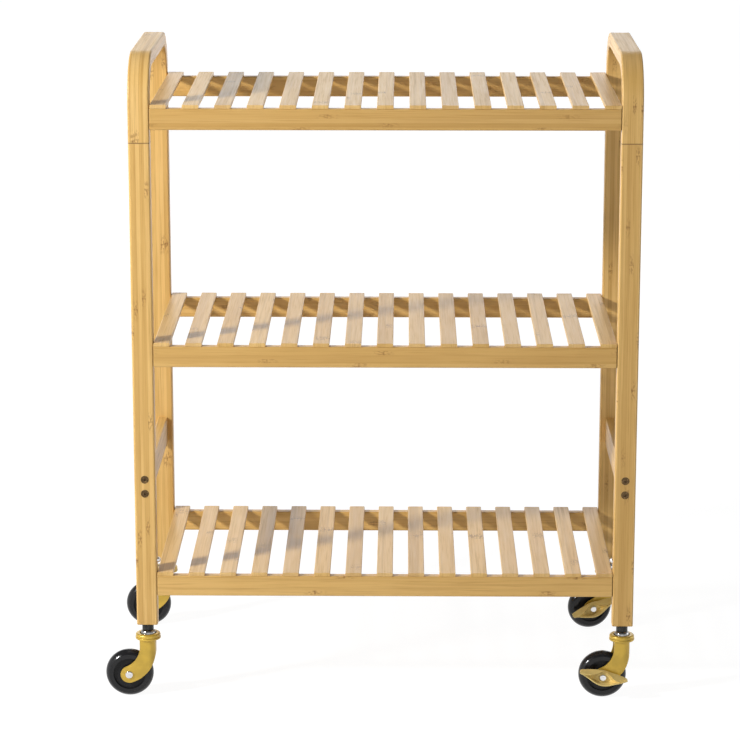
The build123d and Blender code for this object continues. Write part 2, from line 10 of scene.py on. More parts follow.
import bmesh
import bpy
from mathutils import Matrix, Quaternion, Vector


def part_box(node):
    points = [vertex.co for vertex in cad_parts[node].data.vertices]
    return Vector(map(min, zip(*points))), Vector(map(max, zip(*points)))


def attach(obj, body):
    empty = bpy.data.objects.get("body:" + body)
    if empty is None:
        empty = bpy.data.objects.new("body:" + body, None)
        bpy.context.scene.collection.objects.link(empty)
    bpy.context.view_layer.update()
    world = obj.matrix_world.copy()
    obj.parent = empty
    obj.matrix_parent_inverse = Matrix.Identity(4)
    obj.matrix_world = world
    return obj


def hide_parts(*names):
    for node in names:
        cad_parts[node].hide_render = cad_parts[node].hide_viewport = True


bl_info = {
    "name": "Bamboo Utility Cart",
    "version": (1, 0, 0),
    "blender": (4, 5, 0),
    "location": "View3D > Sidebar > Cart",
    "description": "Finishes a rolling bamboo cart and its castors, and lights it in a pale studio",
    "category": "Object",
}

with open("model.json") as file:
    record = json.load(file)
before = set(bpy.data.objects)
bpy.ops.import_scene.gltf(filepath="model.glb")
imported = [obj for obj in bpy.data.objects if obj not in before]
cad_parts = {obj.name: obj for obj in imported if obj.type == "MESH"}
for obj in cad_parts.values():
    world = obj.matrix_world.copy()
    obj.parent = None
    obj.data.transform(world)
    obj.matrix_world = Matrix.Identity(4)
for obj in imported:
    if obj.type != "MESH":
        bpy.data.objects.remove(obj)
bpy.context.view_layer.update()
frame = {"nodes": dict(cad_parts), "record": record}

ENDS = ("front", "rear")
SIDES = ("left", "right")
SHELVES = ("bottom", "middle", "top")
CORNERS = [(end, side) for end in ENDS for side in SIDES]
AXES = ("X", "Y", "Z")

post_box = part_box("front_left_post")
handle_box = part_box("left_handle")
rail_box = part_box("middle_front_rail")
slats_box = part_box("middle_slats")


# ---------------------------------------------------------------- settings
class BambooSettings(bpy.types.PropertyGroup):
    """Colours and strip sizes of the laminated bamboo."""

    honey: bpy.props.FloatVectorProperty(
        name="Honey", description="Main colour of the boards",
        default=(0.640, 0.395, 0.122), size=3, subtype="COLOR", min=0.0, max=1.0,
    )
    pale: bpy.props.FloatVectorProperty(
        name="Pale", description="Colour of the lightest strips",
        default=(0.760, 0.515, 0.205), size=3, subtype="COLOR", min=0.0, max=1.0,
    )
    amber: bpy.props.FloatVectorProperty(
        name="Amber", description="Colour of the deepest strips and of the fibres",
        default=(0.430, 0.235, 0.052), size=3, subtype="COLOR", min=0.0, max=1.0,
    )
    node_brown: bpy.props.FloatVectorProperty(
        name="Node brown", description="Colour of the marks that the cane's nodes leave",
        default=(0.270, 0.130, 0.030), size=3, subtype="COLOR", min=0.0, max=1.0,
    )
    strip_width: bpy.props.FloatProperty(
        name="Strip width", description="Width of the strips that the boards are glued up from",
        default=0.0052, min=0.002, max=0.02, unit="LENGTH",
    )
    node_spacing: bpy.props.FloatProperty(
        name="Node spacing", description="Distance between the cane's nodes along a strip",
        default=0.29, min=0.1, max=0.6, unit="LENGTH",
    )
    fibre_width: bpy.props.FloatProperty(
        name="Fibre width", description="Width of the fine fibres in the face of a strip",
        default=0.0016, min=0.0005, max=0.005, unit="LENGTH",
    )


class CastorSettings(bpy.types.PropertyGroup):
    """Finishes of the castors and of the bolts."""

    gold: bpy.props.FloatVectorProperty(
        name="Gold", description="Colour of the paint on the forks, collars and pedals",
        default=(0.590, 0.385, 0.050), size=3, subtype="COLOR", min=0.0, max=1.0,
    )
    black: bpy.props.FloatVectorProperty(
        name="Black", description="Colour of the wheels",
        default=(0.011, 0.011, 0.012), size=3, subtype="COLOR", min=0.0, max=1.0,
    )
    steel: bpy.props.FloatVectorProperty(
        name="Steel", description="Colour of the polished and plated steel",
        default=(0.760, 0.750, 0.740), size=3, subtype="COLOR", min=0.0, max=1.0,
    )
    bronze: bpy.props.FloatVectorProperty(
        name="Bronze", description="Colour of the bolts in the side frames",
        default=(0.100, 0.062, 0.028), size=3, subtype="COLOR", min=0.0, max=1.0,
    )


class StudioSettings(bpy.types.PropertyGroup):
    """Camera, lamps and floor."""

    camera_place: bpy.props.FloatVectorProperty(
        name="Camera place", description="Where the camera stands",
        default=(0.0219, -3.6521, 1.2582), size=3, subtype="TRANSLATION",
    )
    camera_pitch: bpy.props.FloatProperty(
        name="Camera pitch", description="How far the camera looks down",
        default=0.2340, min=0.0, max=1.5, subtype="ANGLE",
    )
    camera_yaw: bpy.props.FloatProperty(
        name="Camera yaw", description="How far the camera is turned to the left",
        default=0.0115, min=-1.5, max=1.5, subtype="ANGLE",
    )
    lens: bpy.props.FloatProperty(
        name="Lens", description="Focal length on a 36 mm sensor, in millimetres",
        default=143.04, min=20.0, max=400.0,
    )
    key_watts: bpy.props.FloatProperty(
        name="Key lamp", description="Power of the soft lamp at the front left",
        default=90.0, min=0.0, unit="POWER",
    )
    fill_watts: bpy.props.FloatProperty(
        name="Fill lamp", description="Power of the large soft lamp in front of the cart",
        default=8.0, min=0.0, unit="POWER",
    )
    rear_watts: bpy.props.FloatProperty(
        name="Rear lamp", description="Power of the large soft lamp behind the cart",
        default=22.0, min=0.0, unit="POWER",
    )
    side_watts: bpy.props.FloatProperty(
        name="Side lamp", description="Power of the large soft lamp to the right of the cart",
        default=18.0, min=0.0, unit="POWER",
    )
    top_watts: bpy.props.FloatProperty(
        name="Top lamp", description="Power of the soft lamp above the cart",
        default=5.0, min=0.0, unit="POWER",
    )
    sky_strength: bpy.props.FloatProperty(
        name="Sky strength", description="Strength of the pale surroundings",
        default=0.20, min=0.0, max=4.0,
    )


# ---------------------------------------------------------------- helpers
class Nodes:
    """A small builder for one material's node tree."""

    def __init__(self, material):
        self.tree = material.node_tree
        self.tree.nodes.clear()

    def fill(self, socket, value):
        """Join another node's output to a socket, or set the number or colour on it."""
        if isinstance(value, bpy.types.NodeSocket):
            self.tree.links.new(value, socket)
        else:
            socket.default_value = value

    def add(self, kind, **values):
        """A node of this kind; inputs are given by name with spaces as underscores."""
        node = self.tree.nodes.new(kind)
        for name, value in values.items():
            self.fill(node.inputs[name.replace("_", " ")], value)
        return node

    def math(self, operation, first, second=None):
        """The result of a Math node on sockets or numbers."""
        node = self.tree.nodes.new("ShaderNodeMath")
        node.operation = operation
        self.fill(node.inputs[0], first)
        if second is not None:
            self.fill(node.inputs[1], second)
        return node.outputs[0]

    def vector(self, x, y, z):
        """Three numbers or sockets as one vector."""
        return self.add("ShaderNodeCombineXYZ", X=x, Y=y, Z=z).outputs[0]

    def noise(self, vector, scale=1.0, detail=2.0, roughness=0.5, distortion=0.0):
        """Smooth noise, from 0 to 1."""
        node = self.add(
            "ShaderNodeTexNoise", Vector=vector, Scale=scale, Detail=detail,
            Roughness=roughness, Distortion=distortion,
        )
        return node.outputs["Fac"]

    def random(self, vector):
        """One random number, from 0 to 1, for each vector."""
        return self.add("ShaderNodeTexWhiteNoise", Vector=vector).outputs["Value"]

    def spread(self, value, low, high, to_low=0.0, to_high=1.0):
        """A value stretched from one range to another, held at its ends."""
        node = self.tree.nodes.new("ShaderNodeMapRange")
        node.interpolation_type = "SMOOTHSTEP"
        given = {
            "Value": value, "From Min": low, "From Max": high, "To Min": to_low, "To Max": to_high
        }
        for name, number in given.items():
            self.fill(node.inputs[name], number)
        return node.outputs[0]

    def blend(self, amount, first, second):
        """Two colours blended by an amount."""
        node = self.tree.nodes.new("ShaderNodeMix")
        node.data_type = "RGBA"
        self.fill(node.inputs["Factor"], amount)
        for socket, colour in ((node.inputs[6], first), (node.inputs[7], second)):
            linked = isinstance(colour, bpy.types.NodeSocket)
            self.fill(socket, colour if linked else (*colour, 1.0))
        return node.outputs[2]

    def bump(self, height, strength, distance):
        """A normal bent by a height."""
        node = self.add("ShaderNodeBump", Height=height, Strength=strength, Distance=distance)
        return node.outputs[0]

    def surface(self, **values):
        """The Principled surface, joined to the output."""
        shader = self.add("ShaderNodeBsdfPrincipled", **values)
        self.add("ShaderNodeOutputMaterial", Surface=shader.outputs[0])


def new_material(name):
    """An empty node material and its builder."""
    material = bpy.data.materials.new(name)
    material.use_nodes = True
    return material, Nodes(material)


def piece_place(nodes):
    """A point on the piece, at rest, which its patterns are tied to."""
    return nodes.tree.nodes.new("ShaderNodeTexCoord").outputs["Object"]


def place_of(nodes):
    """The X, Y and Z of a point on the piece, at rest."""
    parts = nodes.add("ShaderNodeSeparateXYZ", Vector=piece_place(nodes))
    return [parts.outputs[axis] for axis in AXES]


def shaded(colour, factor, lift=0.0):
    """A colour made darker or lighter by a factor, and lifted by a little grey."""
    return tuple(min(1.0, channel * factor + lift) for channel in colour)


def mesh_object(name, shape):
    """A new object in the scene from a bmesh."""
    mesh = bpy.data.meshes.new(name)
    shape.to_mesh(mesh)
    shape.free()
    piece = bpy.data.objects.new(name, mesh)
    bpy.context.scene.collection.objects.link(piece)
    return piece


def dress(node_name, material):
    """Give a frame node this material in all its slots."""
    piece = frame["nodes"][node_name]
    piece.data.materials.clear()
    piece.data.materials.append(material)


# ---------------------------------------------------------------- bamboo
# Glue lines along a board, and painted shade lines across it where it meets another part, in metres,
# and how dark they are.
GLUE_LINE_WIDTH = 0.0005
GLUE_LINE_DEPTH = 0.36
JOINT_SHADE_CORE = 0.0002
JOINT_SHADE_WIDTH = 0.0011
JOINT_SHADE_DEPTH = 0.80
JOINT_LINE_SHADE = 0.45

# How quickly each pattern changes along, across and through a strip, in turns for each metre. A
# streak is a bundle of fibres, so its fineness is a share of theirs.
FIBRES_ALONG = 14.0
STREAKS_ALONG = 3.0
STREAK_FINENESS = 0.32
CLOUDS = (9.0, 45.0, 45.0)
MOTTLES = (190.0, 520.0, 520.0)

# The most that one strip's cane is shifted against the next one's: its grain, in metres, and its
# nodes, in distances between two of them.
GRAIN_SHIFT = 3.7
NODE_SHIFT = 11.0

# Reach of a node's line and of the smudge beside it, in the same distances, and their depths.
NODE_LINE = (0.0015, 0.0055)
NODE_SMUDGE = (0.010, 0.060)
NODE_WOBBLE = 0.012
NODE_LINE_DEPTH = 0.42
NODE_SMUDGE_DEPTH = 0.676

# How even the boards are, how strongly streaks and fibres show on them, and the height of the
# grain, in metres.
STRIP_SHARE = 0.55
EVENNESS = 0.54
STREAK_DEPTH = 0.40
FIBRE_DEPTH = 0.55
FIBRE_GLINT = 0.30
FIBRE_HEIGHT = 0.6
GRAIN_HEIGHT = 0.0003

# The bend of the handles, in metres, and how much darker the rails are painted than the posts, as
# painted shade: more on the higher shelves, which the lamps light more strongly.
HANDLE_BEND = 0.060
RAIL_SHADE_BY_SHELF = {"bottom": 0.06, "middle": 0.32, "top": 0.45}

# A slat's place in the cane: the step from the last slat's, and the layer that it is cut from,
# with its thickness drawn together so that it keeps within that layer.
SLAT_COUNT = 15
SLAT_WIDTH = 0.020
SLAT_STRIP = 0.024
SLAT_STEP = 0.173
SLAT_LAYER = 3.0
SLAT_LAYER_SHARE = 0.15
SLAT_TINT = (0.62, 0.42, 0.20)
SLAT_TINT_MOST = 0.35


def joint_shade_line(nodes, colour, distance):
    """The colour darkened close to a joint, as painted shade in the gap where two parts meet."""
    settings = bpy.context.scene.cart_bamboo
    distance = nodes.math("ABSOLUTE", distance)
    amount = nodes.spread(distance, JOINT_SHADE_CORE, JOINT_SHADE_WIDTH, JOINT_SHADE_DEPTH, 0.0)
    return nodes.blend(amount, colour, shaded(settings.node_brown, JOINT_LINE_SHADE))


def stretched(nodes, place, rates, offset=0.0):
    """A place along, across and through a strip, times a rate for each and moved through it."""
    along, across, through = [nodes.math("MULTIPLY", *pair) for pair in zip(place, rates)]
    if offset:
        through = nodes.math("ADD", through, offset)
    return nodes.vector(along, across, through)


def glue_lines(nodes, across, strip_width):
    """How dark the board is for its glue lines, which are thin and stand where strips meet."""
    strip_place = nodes.math("FRACT", nodes.math("DIVIDE", across, strip_width))
    off_centre = nodes.math("ABSOLUTE", nodes.math("SUBTRACT", strip_place, 0.5))
    to_edge = nodes.math("SUBTRACT", 0.5, off_centre)
    return nodes.spread(to_edge, 0.0, GLUE_LINE_WIDTH / strip_width, GLUE_LINE_DEPTH, 0.0)


def cane_nodes(nodes, along, cane, strip_shift, clouds):
    """How brown the cane's nodes make a strip: a thin line across it in a mottled smudge."""
    settings = bpy.context.scene.cart_bamboo
    turns = nodes.math("DIVIDE", along, settings.node_spacing)
    turns = nodes.math("ADD", turns, nodes.math("MULTIPLY", strip_shift, NODE_SHIFT))
    phase = nodes.math("FRACT", turns)
    wobble = nodes.math("MULTIPLY", nodes.math("SUBTRACT", clouds, 0.5), NODE_WOBBLE)
    off_node = nodes.math("SUBTRACT", nodes.math("ADD", phase, wobble), 0.5)
    distance = nodes.math("ABSOLUTE", off_node)
    line = nodes.spread(distance, *NODE_LINE, 1.0, 0.0)
    mottles = nodes.spread(nodes.noise(stretched(nodes, cane, MOTTLES)), 0.44, 0.62)
    smudge = nodes.math("MULTIPLY", nodes.spread(distance, *NODE_SMUDGE, 1.0, 0.0), mottles)
    return nodes.math(
        "ADD",
        nodes.math("MULTIPLY", line, NODE_LINE_DEPTH),
        nodes.math("MULTIPLY", smudge, NODE_SMUDGE_DEPTH),
    )


def bamboo_grain(nodes, along, across, depth, seed, strip_width):
    """Colour, height and roughness of laminated bamboo whose strips run along one coordinate.

    Each board has a seed of its own, so that no two boards show the same strips.
    """
    settings = bpy.context.scene.cart_bamboo
    strip = nodes.math("FLOOR", nodes.math("DIVIDE", across, strip_width))
    layer = nodes.math("FLOOR", nodes.math("DIVIDE", depth, strip_width))
    # Each strip draws its tone and its shift, and about half of them show nodes.
    strip_tone = nodes.random(nodes.vector(strip, layer, seed))
    strip_shift = nodes.random(nodes.vector(layer, strip, seed + 7.3))
    has_nodes = nodes.spread(nodes.random(nodes.vector(strip, seed, layer)), 0.45, 0.55)

    shifted = nodes.math("ADD", along, nodes.math("MULTIPLY", strip_shift, GRAIN_SHIFT))
    cane = (shifted, across, depth)
    fine = 1.0 / settings.fibre_width
    coarse = fine * STREAK_FINENESS
    fibre_place = stretched(nodes, cane, (FIBRES_ALONG, fine, fine))
    streak_place = stretched(nodes, cane, (STREAKS_ALONG, coarse, coarse))
    cloud_place = stretched(nodes, (along, across, depth), CLOUDS, offset=seed * 3.1)
    fibres = nodes.noise(fibre_place, detail=3.0, roughness=0.6)
    streaks = nodes.noise(streak_place, distortion=0.3)
    clouds = nodes.noise(cloud_place)

    tone = nodes.math(
        "ADD",
        nodes.math("MULTIPLY", strip_tone, STRIP_SHARE),
        nodes.math("MULTIPLY", clouds, 1.0 - STRIP_SHARE),
    )
    colour = nodes.blend(nodes.spread(tone, 0.18, 0.55), settings.amber, settings.honey)
    colour = nodes.blend(nodes.spread(tone, 0.45, 0.85), colour, settings.pale)
    colour = nodes.blend(EVENNESS, colour, settings.honey)
    streaked = nodes.spread(streaks, 0.50, 0.70, 0.0, STREAK_DEPTH)
    colour = nodes.blend(streaked, colour, settings.amber)
    colour = nodes.blend(nodes.spread(fibres, 0.50, 0.72, 0.0, FIBRE_DEPTH), colour, settings.amber)
    colour = nodes.blend(nodes.spread(fibres, 0.42, 0.18, 0.0, FIBRE_GLINT), colour, settings.pale)
    colour = nodes.blend(glue_lines(nodes, across, strip_width), colour, settings.amber)
    browned = nodes.math("MULTIPLY", has_nodes, cane_nodes(nodes, along, cane, strip_shift, clouds))
    colour = nodes.blend(browned, colour, settings.node_brown)

    height = nodes.math(
        "ADD",
        nodes.math("MULTIPLY", fibres, FIBRE_HEIGHT),
        nodes.math("MULTIPLY", streaks, 1.0 - FIBRE_HEIGHT),
    )
    roughness = nodes.spread(fibres, 0.2, 0.8, 0.36, 0.50)
    return colour, height, roughness


def lacquered(nodes, colour, height, roughness, relief=0.25):
    """The board's surface under lacquer, which its grain still shows through."""
    nodes.surface(
        Base_Color=colour, Roughness=roughness, IOR=1.5,
        Normal=nodes.bump(height, relief, GRAIN_HEIGHT),
    )


def bamboo(name, along, seed, joints=(), painted_shade=0.0):
    """Lacquered bamboo with its strips along X, Y or Z, and painted shade at the joints at these
    places along it.

    A board with painted shade is drawn that much closer to the amber of the darkest strips.
    """
    settings = bpy.context.scene.cart_bamboo
    material, nodes = new_material(name)
    place = dict(zip(AXES, place_of(nodes)))
    across, depth = [axis for axis in AXES if axis != along]
    colour, height, roughness = bamboo_grain(
        nodes, place[along], place[across], place[depth], seed, settings.strip_width
    )
    # Painted shade: the whole board is darkened towards amber.
    if painted_shade:
        colour = nodes.blend(painted_shade, colour, settings.amber)
    # Painted shade darkens the board at each joint, where it meets another part.
    for joint in joints:
        colour = joint_shade_line(nodes, colour, nodes.math("SUBTRACT", place[along], joint))
    lacquered(nodes, colour, height, roughness)
    return material


def bent_bamboo(name, seed):
    """Bamboo laminated along a handle: up one leg, over the top and down the other."""
    settings = bpy.context.scene.cart_bamboo
    material, nodes = new_material(name)
    x, y, z = place_of(nodes)
    low, high = handle_box
    flat = (high.y - low.y) / 2 - HANDLE_BEND
    out = nodes.math("ABSOLUTE", y)
    past_flat = nodes.math("MAXIMUM", nodes.math("SUBTRACT", out, flat), 0.0)
    over_bend = nodes.math("SUBTRACT", z, high.z - HANDLE_BEND)
    above = nodes.math("MAXIMUM", over_bend, 0.0)
    below = nodes.math("MAXIMUM", nodes.math("MULTIPLY", over_bend, -1.0), 0.0)
    angle = nodes.math("ARCTAN2", past_flat, nodes.math("MAXIMUM", above, 0.00001))
    straight = nodes.math("ADD", nodes.math("MINIMUM", out, flat), below)
    half_run = nodes.math("ADD", straight, nodes.math("MULTIPLY", angle, HANDLE_BEND))
    along = nodes.math("MULTIPLY", half_run, nodes.math("SIGN", y))
    squares = nodes.math(
        "ADD", nodes.math("POWER", past_flat, 2.0), nodes.math("POWER", above, 2.0)
    )
    depth = nodes.math("SQRT", squares)
    colour, height, roughness = bamboo_grain(nodes, along, x, depth, seed, settings.strip_width)
    # Painted shade where the handle's foot stands on the post.
    colour = joint_shade_line(nodes, colour, nodes.math("SUBTRACT", z, low.z))
    lacquered(nodes, colour, height, roughness)
    return material


def slat_bamboo(name, seed):
    """Thin slats, each cut from a strip of its own, so that each has its own tone and nodes."""
    material, nodes = new_material(name)
    x, y, z = place_of(nodes)
    low, high = slats_box
    pitch = (high.x - low.x - SLAT_WIDTH) / (SLAT_COUNT - 1)
    slat = nodes.math("ROUND", nodes.math("DIVIDE", x, pitch))
    slat_tone = nodes.random(nodes.vector(slat, seed, 4.0))
    across = nodes.math("ADD", x, nodes.math("MULTIPLY", slat, SLAT_STEP))
    depth = nodes.math("MULTIPLY", nodes.math("ADD", z, SLAT_LAYER), SLAT_LAYER_SHARE)
    colour, height, roughness = bamboo_grain(nodes, y, across, depth, seed, SLAT_STRIP)
    tinted = nodes.blend(nodes.spread(slat_tone, 0.0, 1.0, 0.0, SLAT_TINT_MOST), colour, SLAT_TINT)
    lacquered(nodes, tinted, height, roughness, relief=0.2)
    return material


class CART_OT_side_frames(bpy.types.Operator):
    """Finish the posts, the bent handles, their dowels and the crossbars in bamboo"""

    bl_idname = "cart.side_frames"
    bl_label = "Side frames"

    def execute(self, context):
        # The posts get painted shade at their tops, where the handles stand on them.
        post_top = post_box[1].z
        for number, (end, side) in enumerate(CORNERS):
            name = f"{end}_{side}_post"
            dress(name, bamboo(name + "_bamboo", "Z", 1.7 + 2.9 * number, [post_top]))
        for number, side in enumerate(SIDES):
            dress(f"{side}_handle", bent_bamboo(f"{side}_handle_bamboo", 21.3 + 5.1 * number))
            dress(f"{side}_crossbar", bamboo(f"{side}_crossbar_bamboo", "Y", 33.1 + 4.7 * number))
        dress("handle_dowels", bamboo("dowel_bamboo", "Z", 41.9))
        return {"FINISHED"}


class CART_OT_shelves(bpy.types.Operator):
    """Finish the rails and slats of the three shelves in bamboo"""

    bl_idname = "cart.shelves"
    bl_label = "Shelves"

    def execute(self, context):
        # The rails get painted shade at their ends, where they meet the posts.
        rail_ends = [rail_box[0].x, rail_box[1].x]
        for number, shelf in enumerate(SHELVES):
            for end in ENDS:
                seed = 51.3 + 6.1 * number + (2.3 if end == "rear" else 0.0)
                name = f"{shelf}_{end}_rail"
                # Each shelf's rails are darkened by its share of painted shade.
                dress(name, bamboo(name + "_bamboo", "X", seed, rail_ends, RAIL_SHADE_BY_SHELF[shelf]))
            dress(f"{shelf}_slats", slat_bamboo(f"{shelf}_slat_bamboo", 71.7 + 3.3 * number))
        return {"FINISHED"}


# ---------------------------------------------------------------- metal and wheels
def gold_paint():
    """Smooth mustard gold paint with a faint orange peel and slightly darker low spots."""
    gold = bpy.context.scene.cart_castors.gold
    material, nodes = new_material("gold_paint")
    place = piece_place(nodes)
    low_spots = nodes.noise(place, scale=55.0, detail=3.0)
    peel = nodes.noise(place, scale=900.0)
    nodes.surface(
        Base_Color=nodes.blend(nodes.spread(low_spots, 0.35, 0.65), gold, shaded(gold, 0.82)),
        Roughness=nodes.spread(peel, 0.2, 0.8, 0.30, 0.42), Metallic=0.42, IOR=1.5,
        Coat_Weight=0.18, Coat_Roughness=0.20, Normal=nodes.bump(peel, 0.10, 0.0002),
    )
    return material


def wheel_black(name, gloss, scuff, sheen):
    """Glossy black moulding with a fine grain and faint scuffs."""
    black = bpy.context.scene.cart_castors.black
    material, nodes = new_material(name)
    place = piece_place(nodes)
    dust = nodes.noise(place, scale=130.0, detail=4.0, roughness=0.65)
    grain = nodes.noise(place, scale=1400.0)
    dusty = nodes.spread(dust, 0.45, 0.75, 0.0, scuff)
    nodes.surface(
        Base_Color=nodes.blend(dusty, black, shaded(black, 2.6, lift=0.006)),
        Roughness=nodes.spread(dust, 0.3, 0.7, gloss, gloss + 0.12), IOR=1.5,
        Specular_IOR_Level=sheen, Normal=nodes.bump(grain, 0.06, 0.0001),
    )
    return material


def polished_steel(name, roughness, tint=1.0):
    """Bright steel with fine scratches and faint dull patches."""
    material, nodes = new_material(name)
    place = piece_place(nodes)
    scratches = nodes.noise(place, scale=1800.0, detail=3.0)
    patches = nodes.noise(place, scale=260.0)
    bright = shaded(bpy.context.scene.cart_castors.steel, tint)
    nodes.surface(
        Base_Color=nodes.blend(nodes.spread(patches, 0.4, 0.7), bright, shaded(bright, 0.88)),
        Metallic=1.0, Roughness=nodes.spread(scratches, 0.3, 0.7, roughness, roughness + 0.1),
        Normal=nodes.bump(scratches, 0.012, 0.0001),
    )
    return material


def bronze_plating():
    """Dark bronze plating with worn, lighter patches."""
    bronze = bpy.context.scene.cart_castors.bronze
    material, nodes = new_material("bronze_plating")
    wear = nodes.noise(piece_place(nodes), scale=700.0, detail=3.0)
    nodes.surface(
        Base_Color=nodes.blend(nodes.spread(wear, 0.5, 0.75), bronze, shaded(bronze, 3.2)),
        Metallic=0.85, Roughness=nodes.spread(wear, 0.3, 0.7, 0.30, 0.42),
        Normal=nodes.bump(wear, 0.06, 0.0001),
    )
    return material


def black_oxide():
    """Oiled black steel."""
    material, nodes = new_material("black_oxide")
    oil = nodes.noise(piece_place(nodes), scale=400.0, detail=3.0)
    oiled = nodes.spread(oil, 0.4, 0.7)
    nodes.surface(
        Base_Color=nodes.blend(oiled, (0.018, 0.018, 0.017), (0.045, 0.045, 0.040)),
        Metallic=0.6, Roughness=nodes.spread(oil, 0.3, 0.7, 0.28, 0.40),
        Normal=nodes.bump(oil, 0.05, 0.0001),
    )
    return material


class CART_OT_fasteners(bpy.types.Operator):
    """Finish the bolts, inserts, brads, sockets and screws"""

    bl_idname = "cart.fasteners"
    bl_label = "Fasteners"

    def execute(self, context):
        bronze = bronze_plating()
        dress("crossbar_bolts", bronze)
        dress("shelf_bolts", bronze)
        dress("dome_screws", polished_steel("screw_steel", roughness=0.16))
        plated = polished_steel("plated_steel", roughness=0.34, tint=0.85)
        for name in ("crossbar_inserts", "shelf_inserts", "slat_brads", "castor_sockets"):
            dress(name, plated)
        return {"FINISHED"}


class CART_OT_castors(bpy.types.Operator):
    """Finish the castors: gold forks and collars, bright bearings and rivets, black wheels"""

    bl_idname = "cart.castors"
    bl_label = "Castors"

    def execute(self, context):
        gold = gold_paint()
        bright = polished_steel("bright_steel", roughness=0.10)
        tyre = wheel_black("tyre_black", gloss=0.10, scuff=0.10, sheen=0.30)
        hub = wheel_black("hub_black", gloss=0.24, scuff=0.08, sheen=0.20)
        bush = polished_steel("bush_steel", roughness=0.3, tint=0.8)
        dress("castor_stems", black_oxide())
        # The cones' steel is given a dark colour as painted reflection, standing in for the dark
        # stem and dim dish that the chrome mirrors.
        dress("bearing_cones", polished_steel("cone_steel", roughness=0.12, tint=0.42))
        dress("bearing_balls", bright)
        for end, side in CORNERS:
            for piece in ("fork", "race_ring"):
                dress(f"{end}_{side}_{piece}", gold)
            dress(f"{end}_{side}_axle_rivet", bright)
            dress(f"{end}_{side}_tyre", tyre)
            dress(f"{end}_{side}_wheel_hub", hub)
            dress(f"{end}_{side}_wheel_bush", bush)
        return {"FINISHED"}


# ---------------------------------------------------------------- brake pedals
# One pedal's pressed sheet, in millimetres from the axle. At each station along it stand five
# points, each as distance in front of the plate's back and height: the rear edge of the wing,
# the fold above the rivet's recess, the top and the foot of the recess's flat wall, which the
# rivet's head stands on, and the lip below it.
PEDAL_STATIONS = (
    (-29.0, (0.0, 10.9), (8.0, 9.3), (8.2, 9.1), (8.4, 8.9), (8.8, 8.4)),
    (-22.0, (0.0, 11.1), (9.6, 7.6), (9.6, 7.2), (9.6, 6.8), (10.2, 5.9)),
    (-15.0, (0.0, 11.1), (9.4, 6.8), (7.6, 4.2), (6.2, 2.0), (10.8, 0.6)),
    (-9.5, (0.0, 10.9), (8.0, 6.6), (3.4, 3.6), (2.2, -1.8), (11.2, -3.0)),
    (-5.6, (0.0, 10.6), (5.4, 7.4), (1.2, 5.0), (1.2, -4.3), (11.2, -5.2)),
    (-2.2, (0.0, 10.2), (3.8, 8.8), (1.2, 6.4), (1.2, -5.5), (11.2, -6.2)),
    (1.2, (0.0, 9.9), (3.4, 9.1), (1.2, 6.7), (1.2, -5.8), (11.2, -6.6)),
    (4.6, (0.0, 8.9), (3.8, 7.7), (1.2, 5.4), (1.2, -5.7), (11.2, -6.6)),
    (8.0, (0.0, 7.4), (5.4, 5.1), (1.5, 2.8), (1.2, -5.2), (11.2, -6.1)),
    (11.5, (0.0, 6.1), (7.8, 1.7), (4.2, -0.8), (2.6, -4.4), (11.2, -5.3)),
    (15.5, (0.0, 4.9), (10.0, -1.6), (8.4, -2.6), (7.0, -3.6), (11.2, -4.3)),
    (21.5, (0.0, 2.8), (10.6, -2.7), (10.5, -2.9), (10.4, -3.2), (11.0, -3.6)),
    (30.5, (0.0, -1.0), (8.4, -1.2), (8.6, -1.4), (8.8, -1.6), (9.2, -2.1)),
)
PEDAL_SHEET = 0.0012
PEDAL_BOSS_RADIUS = 0.0065
PEDAL_BOSS_LENGTH = 0.004
PEDAL_BORE_RADIUS = 0.0031
PEDAL_EDGE_ROUND = 0.00022
PEDAL_EDGE_ANGLE = math.radians(50)
PEDAL_CREASE_ANGLE = math.radians(38)
FOLD_SHARPNESS = 0.30
MM_PER_METRE = 1000
UP = Vector((0.0, 0.0, 1.0))


def between(first, second, share):
    """The point at this share of the way from one point to another."""
    return tuple(a + (b - a) * share for a, b in zip(first, second))


def pedal_section(wing, fold, wall, foot, lip):
    """One station's points, with extra ones beside each corner to keep it crisp."""
    return (
        wing,
        between(wing, fold, 0.5),
        between(fold, wing, FOLD_SHARPNESS * 0.5),
        fold,
        between(fold, wall, 0.5),
        wall,
        between(wall, foot, FOLD_SHARPNESS * 0.5),
        between(wall, foot, 0.5),
        between(foot, wall, FOLD_SHARPNESS * 0.4),
        foot,
        between(foot, lip, FOLD_SHARPNESS * 0.3),
        between(foot, lip, 0.5),
        lip,
    )


def tube(name, radius, start, end):
    """A closed cylinder along the axle, from one distance in front of the plate to another."""
    shape = bmesh.new()
    made = bmesh.ops.create_cone(
        shape, cap_ends=True, segments=64, radius1=radius, radius2=radius, depth=end - start
    )
    for vertex in made["verts"]:
        across, up, along = vertex.co
        vertex.co = Vector((across, along + (start + end) / 2, up))
    bmesh.ops.recalc_face_normals(shape, faces=shape.faces)
    return mesh_object(name, shape)


def apply_modifiers(piece):
    """The piece's mesh as its modifiers leave it, with no modifier left on it."""
    graph = bpy.context.evaluated_depsgraph_get()
    finished = bpy.data.meshes.new_from_object(piece.evaluated_get(graph))
    piece.modifiers.clear()
    piece.data = finished


